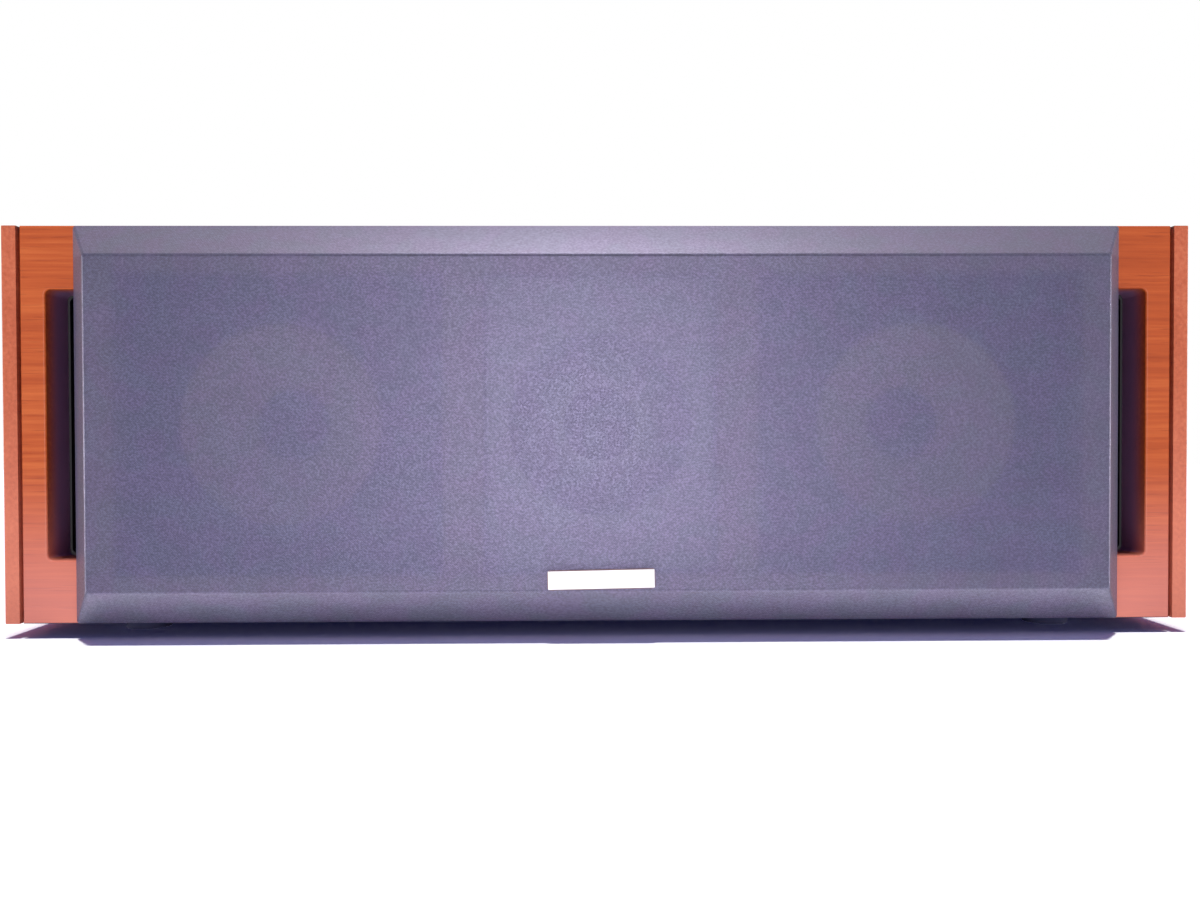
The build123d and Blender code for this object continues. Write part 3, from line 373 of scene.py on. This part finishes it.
dress(
    metal("zinc_plated_steel", (0.62, 0.62, 0.60), 0.36),
    "left_woofer_top_plate", "right_woofer_top_plate", "tweeter_top_plate",
    "left_woofer_yoke", "right_woofer_yoke", "tweeter_yoke",
)
dress(
    moulded("ferrite", (0.050, 0.050, 0.055), 0.6, 0.4 * mm),
    "left_woofer_magnet", "right_woofer_magnet", "tweeter_magnet",
)

# Surrounds: a moulded half roll of soft rubber round each cone, glued to its lip and to the basket's rim.
# The outer half stays with the basket. The inner half, which on the speaker bends as the cone moves, is a
# separate piece.
# Radii are from the woofer's axis, and heights are forward of the baffle's face.
woofer_x = 130 * mm
rubber = 0.8 * mm
roll_middle = 47.25 * mm
roll_centre = -2.748 * mm
roll_radius = 3.6 * mm
land_height = -1.2 * mm
flange_edge = 55.0 * mm
lip_height = -4.4 * mm
lip_edge = 41.0 * mm
leg_radius = 44.0 * mm
ring_steps = 96
roll_steps = 10
leg_steps = 5
merge_distance = 0.001 * mm
sector_slack = 0.01
crease_angle = math.radians(40)


def new_piece(name):
    """Name the new primitive, put its place into its mesh and enter edit mode."""
    piece = bpy.context.object
    piece.name = name
    bpy.ops.object.transform_apply(location=True, rotation=True, scale=True)
    bpy.ops.object.mode_set(mode="EDIT")
    return piece


def clear_selection():
    """Leave edit mode and deselect every object."""
    if bpy.context.object and bpy.context.object.mode == "EDIT":
        bpy.ops.object.mode_set(mode="OBJECT")
    bpy.ops.object.select_all(action="DESELECT")


def select_where(piece, parts, test):
    """In edit mode, select the verts, edges or faces that pass a test, and nothing else."""
    bpy.ops.mesh.select_mode(type={"verts": "VERT", "edges": "EDGE", "faces": "FACE"}[parts])
    bpy.ops.mesh.select_all(action="DESELECT")
    mesh = bmesh.from_edit_mesh(piece.data)
    for part in getattr(mesh, parts):
        if test(part):
            part.select = True
    mesh.select_flush_mode()
    bmesh.update_edit_mesh(piece.data)


def turned_ring(name, x, outline, finish, middle=0.0, half_angle=math.pi):
    """A closed outline of radii and heights, carried round a woofer's axis or over a sector of it."""
    clear_selection()
    radius, height = outline[0]
    centre = Vector((x, baffle_low.y - height, mid_z))
    bpy.ops.mesh.primitive_circle_add(
        vertices=ring_steps, radius=radius, location=centre, rotation=(math.pi / 2, 0, 0)
    )
    ring = new_piece(name)
    if half_angle < math.pi:
        aim = Vector((math.cos(middle), 0, math.sin(middle)))
        least = math.cos(half_angle + sector_slack)
        select_where(ring, "verts", lambda v: (v.co - centre).normalized().dot(aim) < least)
        bpy.ops.mesh.delete(type="VERT")
        bpy.ops.mesh.select_all(action="SELECT")
    for (r0, h0), (r1, h1) in zip(outline, outline[1:] + outline[:1]):
        bpy.ops.mesh.extrude_edges_move(TRANSFORM_OT_translate={"value": (0, h0 - h1, 0)})
        bpy.ops.transform.resize(value=(r1 / r0, 1, r1 / r0), center_override=(x, 0, mid_z))
    bpy.ops.mesh.select_all(action="SELECT")
    bpy.ops.mesh.remove_doubles(threshold=merge_distance)
    bpy.ops.mesh.fill_holes(sides=0)
    bpy.ops.mesh.normals_make_consistent(inside=False)
    bpy.ops.object.mode_set(mode="OBJECT")
    bpy.ops.object.shade_smooth_by_angle(angle=crease_angle)
    ring.data.materials.append(finish)
    return ring


def roll_arc(radius, first, last):
    """Points along the half roll, between two angles in degrees from the outer side."""
    angles = [math.radians(first + (last - first) * k / roll_steps) for k in range(roll_steps + 1)]
    return [(roll_middle + radius * math.cos(a), roll_centre + radius * math.sin(a)) for a in angles]


outer_meet = math.degrees(math.asin((land_height + rubber - roll_centre) / (roll_radius + rubber)))
inner_meet = math.degrees(math.asin((land_height - roll_centre) / roll_radius))
outer_half = [
    *roll_arc(roll_radius + rubber, 90, outer_meet),
    (flange_edge, land_height + rubber),
    (flange_edge, land_height),
    *roll_arc(roll_radius, inner_meet, 90),
]
leg = [land_height + rubber + (lip_height - land_height) * k / leg_steps for k in range(leg_steps + 1)]
inner_half = [
    *roll_arc(roll_radius + rubber, 90, 180 - outer_meet),
    *((leg_radius - rubber, height) for height in leg),
    (lip_edge, lip_height + rubber),
    (lip_edge, lip_height),
    *((leg_radius, height - rubber) for height in reversed(leg[1:])),
    *roll_arc(roll_radius, 180 - inner_meet, 90),
]
surround_rubber = moulded("black_surround_rubber", (0.018, 0.018, 0.019), 0.55, 0.6 * mm)
for side, x in (("left", -woofer_x), ("right", woofer_x)):
    outer_ring = turned_ring(f"{side}_surround_outer", x, outer_half, surround_rubber)
    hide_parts(f"{side}_woofer_surround")
    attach(outer_ring, "cabinet")
    inner_ring = turned_ring(f"{side}_surround_inner", x, inner_half, surround_rubber)
    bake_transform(inner_ring)

# Spiders: a corrugated disc of resin-stiffened cloth that centres each coil, glued to it and to the basket.
# Each is made in six sectors that meet edge to edge.
spider_low, spider_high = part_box("left_woofer_spider")
spider_radius = (spider_high.x - spider_low.x) / 2
spider_wall = 0.6 * mm
spider_level = baffle_low.y - spider_high.y + spider_wall
collar_radius = 12.9 * mm
wave_first = 15.1 * mm
wave_last = 31.9 * mm
wave_height = 1.6 * mm
wave_count = 3
wave_steps = 24
sector_count = 6
half_sector = math.pi / sector_count
spider_top = [(collar_radius, spider_level)]
for k in range(wave_steps + 1):
    swell = 0.5 - 0.5 * math.cos(2 * math.pi * wave_count * k / wave_steps)
    wave_radius = wave_first + (wave_last - wave_first) * k / wave_steps
    spider_top.append((wave_radius, spider_level + wave_height * swell))
spider_top.append((spider_radius, spider_level))
spider_outline = [*spider_top, *((radius, height - spider_wall) for radius, height in reversed(spider_top))]
spider_cloth = moulded("resin_spider_cloth", (0.40, 0.26, 0.08), 0.85, 0.6 * mm, 0.1 * mm)
for side, x in (("left", -woofer_x), ("right", woofer_x)):
    for k in range(sector_count):
        middle = 2 * k * half_sector
        sector = turned_ring(
            f"{side}_spider_{k + 1}", x, spider_outline, spider_cloth, middle, half_sector
        )
        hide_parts(f"{side}_woofer_spider")
        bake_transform(sector)

# Tweeter: a silver-grey plate with a shallow flare, round a dome of silver-coated fabric.
# The plate is painted with a fine metallic grain, and screwed to the baffle.
silver_dark, silver_light = (0.36, 0.36, 0.38, 1), (0.52, 0.52, 0.54, 1)
silver_paint, shader, place = new_finish("silver_grey_paint", {"Metallic": 0.25})
flake = grain(place, even, 2200.0, 1.0)
cloud = grain(place, even, 20.0, 2.0)
mix(0.6 * flake + 0.3 * cloud, silver_dark, silver_light).into(shader, "Base Color")
(0.36 + 0.12 * flake).into(shader, "Roughness")
bump(flake, shader, 0.02 * mm)
dress(silver_paint, "tweeter_plate")
dress(moulded("coated_dome_fabric", (0.33, 0.33, 0.35), 0.5, 0.4 * mm, 0.05 * mm), "tweeter_dome")


# Damping pads: soft white wadding, stuck to the rear panel behind each woofer.
# Each is a loose crowned pad whose sides pull in.
def new_block(name, low, high):
    """A cuboid between two corners, in edit mode."""
    clear_selection()
    size = [b - a for a, b in zip(low, high)]
    middle = [(a + b) / 2 for a, b in zip(low, high)]
    bpy.ops.mesh.primitive_cube_add(size=1, location=middle, scale=size)
    return new_piece(name)


pads_low, pads_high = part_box("damping_pads")
pad_width = 120 * mm
pad_pull = 4 * mm
pad_cuts = 11
pad_smoothings = 8
near = 0.05 * mm
wadding = moulded("white_wadding", (0.62, 0.61, 0.57), 0.95, 2.0 * mm, 0.6 * mm)
lumps = bpy.data.textures.new("wadding_lumps", "CLOUDS")
lumps.noise_scale = 30 * mm
for side, left in (("left", pads_low.x), ("right", pads_high.x - pad_width)):
    pad = new_block(
        f"{side}_damping_pad",
        (left, pads_low.y, pads_low.z), (left + pad_width, pads_high.y, pads_high.z),
    )
    bpy.ops.mesh.subdivide(number_cuts=pad_cuts)
    select_where(pad, "verts", lambda v: v.co.y < pads_high.y - near)
    bpy.ops.mesh.vertices_smooth(factor=0.5, repeat=pad_smoothings)
    bpy.ops.object.mode_set(mode="OBJECT")
    bpy.ops.object.modifier_add(type="SUBSURF")
    bpy.ops.object.modifier_apply(modifier=pad.modifiers[0].name)
    bpy.ops.object.modifier_add(type="DISPLACE")
    displace = pad.modifiers[0]
    displace.texture = lumps
    displace.strength = pad_pull
    displace.mid_level = 1.0
    displace.texture_coords = "LOCAL"
    bpy.ops.object.modifier_apply(modifier=displace.name)
    bpy.ops.object.shade_smooth()
    pad.data.materials.append(wadding)
    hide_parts("damping_pads")
    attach(pad, "cabinet")

# Grille frame: cut from fibreboard, left bare, with four black pegs that push into cups in the baffle.
# The board is fine and tan, and slightly cloudy.
fibreboard_dark, fibreboard_light = (0.40, 0.28, 0.16, 1), (0.58, 0.44, 0.28, 1)
fibreboard, shader, place = new_finish("bare_fibreboard", {})
dust = grain(place, even, 1300.0, 3.0)
cloud = grain(place, even, 45.0, 3.0)
mix(0.5 * dust + 0.5 * cloud, fibreboard_dark, fibreboard_light).into(shader, "Base Color")
(0.8 + 0.15 * dust).into(shader, "Roughness")
bump(dust, shader, 0.05 * mm)
dress(fibreboard, "grille_frame")
dress(moulded("black_peg_plastic", (0.018, 0.018, 0.019), 0.42), "grille_pegs", "grille_sockets")

# Grille cloth: one piece of dark violet-grey knit, stretched over the frame and folded behind it.
# It is sheer enough that the pale cones, the tweeter plate and the frame's bars show through faintly.
# Its upper bevel is painted paler and warmer, as a highlight from the light overhead, and made a little
# rougher.
cloth_lift = 0.2 * mm
hem_width = 5 * mm
land = 2.0 * mm
bevel_height = 13.7 * mm
side_bevel = 10.0 * mm
edge_radius = 1.0 * mm
edge_segments = 4
grille_back = grille_high.y - cloth_lift
front_half = grille_half - bevel_height
front_half_width = grille_high.x - side_bevel
bevel_depth = grille_back - land - grille_low.y
land_front = (grille_low.x, grille_back - land, grille_low.z)
cloth = new_block("grille_cloth_sheet", land_front, (grille_high.x, grille_back, grille_high.z))
select_where(cloth, "faces", lambda f: f.normal.y > 0.9)
bpy.ops.mesh.delete(type="ONLY_FACE")
select_where(cloth, "faces", lambda f: f.normal.y < -0.9)
bpy.ops.mesh.extrude_region_move(TRANSFORM_OT_translate={"value": (0, -bevel_depth, 0)})
bpy.ops.transform.resize(
    value=(front_half_width / grille_high.x, 1, front_half / grille_half),
    center_override=(0, grille_low.y, mid_z),
)
select_where(cloth, "edges", lambda e: min(v.co.y for v in e.verts) < grille_low.y + near)
bpy.ops.mesh.bevel(offset=edge_radius, segments=edge_segments, affect="EDGES", clamp_overlap=False)
select_where(cloth, "edges", lambda e: e.is_boundary)
bpy.ops.mesh.extrude_edges_move()
bpy.ops.transform.resize(
    value=(1 - hem_width / grille_high.x, 1, 1 - hem_width / grille_half),
    center_override=(0, grille_back, mid_z),
)
bpy.ops.object.mode_set(mode="OBJECT")
bpy.ops.object.shade_smooth_by_angle(angle=crease_angle)
bpy.ops.object.modifier_add(type="WEIGHTED_NORMAL")
cloth.modifiers[0].keep_sharp = True
bpy.ops.object.modifier_apply(modifier=cloth.modifiers[0].name)

yarn_sheen = {"Specular IOR Level": 0.95, "Specular Tint": (0.77, 0.67, 1.0, 1)}
yarn_turn = 2 * math.pi / (0.9 * mm)
yarn_stops = [
    (0.26, (0.035, 0.035, 0.066, 1)),
    (0.50, (0.058, 0.058, 0.105, 1)),
    (0.76, (0.100, 0.099, 0.170, 1)),
]
top_light_share = 0.12
top_light_colour = (0.34, 0.27, 0.30, 1)
greenish, reddish = (0.93, 1.04, 0.97, 1), (1.07, 0.96, 1.03, 1)
knit, shader, place = new_finish("violet_grey_knit", yarn_sheen)
up = place.axis("Z")
wale = (place.axis("X") * yarn_turn).math("SINE")
course = (up * yarn_turn).math("SINE")
loops = 0.5 + 0.5 * wale * course
speckle = grain(place, (0.75, 1.0, 1.0), 1500.0, 2.0).between(0.12, 0.88)
mottle = grain(place, even, 60.0, 2.0)
yarn = 0.55 * speckle + 0.25 * loops + 0.2 * mottle
dyed = yarn.node("ValToRGB", {"stops": yarn_stops}, {"Fac": yarn})
# Painted highlight: the upper bevel is lightened and warmed as if by the overhead light.
painted_top_light = up.between(mid_z + front_half, mid_z + front_half + edge_radius)
dyed = mix(top_light_share * painted_top_light, dyed, top_light_colour)
cast = mix(grain(place, even, 85.0, 1.0).between(0.35, 0.65), greenish, reddish)
multiply = {"data_type": "RGBA", "blend_type": "MULTIPLY"}
dyed.node("Mix", multiply, {0: 1.0, 6: dyed, 7: cast}, 2).into(shader, "Base Color")
(0.46 - 0.12 * speckle + 0.06 * painted_top_light).into(shader, "Roughness")
(0.775 + 0.06 * speckle).into(shader, "Alpha")
bump(yarn, shader, 0.10 * mm)
cloth.data.materials.append(knit)
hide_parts("grille_cloth")
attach(cloth, "grille")
flat_length = 2 * (front_half + math.hypot(bevel_depth, bevel_height) + land + hem_width)

# Badge: a blank plate of satin silver, pinned through the cloth and set slightly crooked.
# A narrow dark red-brown line round its edge is painted shade.
badge_low, badge_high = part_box("badge")
badge_middle = (badge_low + badge_high) / 2
badge_half_length = 21.0 * mm
badge_half_width = 3.8 * mm
badge_line = 0.35 * mm
line_edge = 0.6 * badge_line
badge_tilt = math.radians(1.0)
edge_shade_brown = (0.14, 0.045, 0.040, 1)
plate, shader, place = new_finish("satin_silver_badge", {})
centred = place.node("VectorMath", {"operation": "SUBTRACT"}, {0: place, 1: badge_middle[:]})
turned = centred.node("Mapping", {}, {"Vector": centred, "Rotation": (0, badge_tilt, 0)})
off_centre = turned.axis("X").math("ABSOLUTE")
off_middle = turned.axis("Z").math("ABSOLUTE")
# Painted shade: a narrow dark red-brown line round the plate's edge.
ends = off_centre.between(badge_half_length - badge_line, badge_half_length - line_edge)
edge_shade = ends.math("MAXIMUM", off_middle.between(badge_half_width - badge_line, badge_half_width - line_edge))
brushed = grain(place, (0.03, 1.0, 1.0), 3000.0, 2.0)
face = mix(brushed, (0.90, 0.90, 0.89, 1), (0.96, 0.96, 0.95, 1))
mix(edge_shade, face, edge_shade_brown).into(shader, "Base Color")
(0.36 + 0.1 * brushed).into(shader, "Roughness")
bump(brushed, shader, 0.005 * mm)
dress(plate, "badge")

# Floor and room: a plain white floor and walls, a soft light overhead, a low one on each of four sides,
# and a weak strip at the speaker's foot. The floor is brighter to the camera than to the object, so it
# stays white and keeps the shadow. A trace of blue glow gives the shadow its navy tint.
white, wall_grey = (1, 1, 1, 1), (0.3, 0.3, 0.3, 1)
floor_size = 4.0
floor_fixed = {
    "Roughness": 0.9, "Specular IOR Level": 0.0,
    "Emission Color": (0.001, 0.001, 0.016, 1), "Emission Strength": 1.0,
}
floor_lit, floor_seen = (0.95, 0.95, 0.95, 1), (1.12, 1.12, 1.12, 1)
shade_blue = (0.07, 0.075, 0.24, 1)
clear_selection()
bpy.ops.mesh.primitive_plane_add(size=floor_size, location=(0, 0, 0))
floor = bpy.context.object
floor.name = "floor"
floor_white, shader, place = new_finish("white_floor", floor_fixed)
in_view = place.node("LightPath", {}, {}, "Is Camera Ray")
mix(in_view, floor_lit, floor_seen).into(shader, "Base Color")
floor.data.materials.append(floor_white)

scene = bpy.context.scene
scene.view_settings.view_transform = "Standard"
room = bpy.data.worlds.new("white_room")
scene.world = room
room.use_nodes = True
backdrop = room.node_tree.nodes["Background"]
direction = Signal(room.node_tree.nodes.new("ShaderNodeTexCoord").outputs["Generated"])
walls = mix(direction.axis("Z").between(0.0, 0.5), white, wall_grey)
in_view, in_gloss, in_glass = (
    direction.node("LightPath", {}, {}, f"Is {ray} Ray") for ray in ("Camera", "Glossy", "Transmission")
)
seen_directly = in_view.math("MAXIMUM", in_gloss).math("MAXIMUM", in_glass)
lit = mix(seen_directly, shade_blue, walls)
mix(in_view, lit, white).into(backdrop, "Color")


def hang(name, lamp, place, turn):
    """Put a lamp in the scene at a place, turned by degrees."""
    made = bpy.data.objects.new(name, lamp)
    scene.collection.objects.link(made)
    made.location = place
    made.rotation_euler = [math.radians(angle) for angle in turn]


def sun_light(name, turn, level, width):
    """A soft sun that lights a facing surface to a level, where 1 shows a colour as it is written."""
    lamp = bpy.data.lights.new(name, "SUN")
    lamp.energy = math.pi * level
    lamp.angle = math.radians(width)
    hang(name, lamp, (0, 0, 0), turn)


strip = bpy.data.lights.new("toe_strip", "AREA")
strip.shape = "RECTANGLE"
strip.size, strip.size_y, strip.energy = 0.43, 0.03, 0.074
facing_up = (180, 0, 0)
hang("toe_strip", strip, (0, -116 * mm, 1 * mm), facing_up)
ceiling_width, side_width = 6, 3
sun_light("ceiling_light", (2.5, 0, 0), 0.98, ceiling_width)
for name, turn, level in (("front", 0, 0.56), ("left", -90, 0.36), ("back", 180, 0.38), ("right", 90, 0.34)):
    sun_light(f"{name}_light", (90, 0, turn), level, side_width)

# Camera: close in front of the grille at about mid height, slightly left of the middle.
# A wide lens, tipped a little down, as the photograph's depth lines show.
image_width = 1200
lens_pixels = 1000.0
eye = (-6.02 * mm, -496.57 * mm, 81.45 * mm)
pitch_down, turn_right, roll = 0.86, 0.837, 0.162
camera = bpy.data.objects.new("camera", bpy.data.cameras.new("camera"))
scene.collection.objects.link(camera)
camera.data.sensor_width = 36.0
camera.data.lens = camera.data.sensor_width * lens_pixels / image_width
camera.data.clip_start = 10 * mm
camera.location = eye
camera.rotation_euler = (math.radians(90 - pitch_down), math.radians(roll), math.radians(-turn_right))
scene.camera = camera
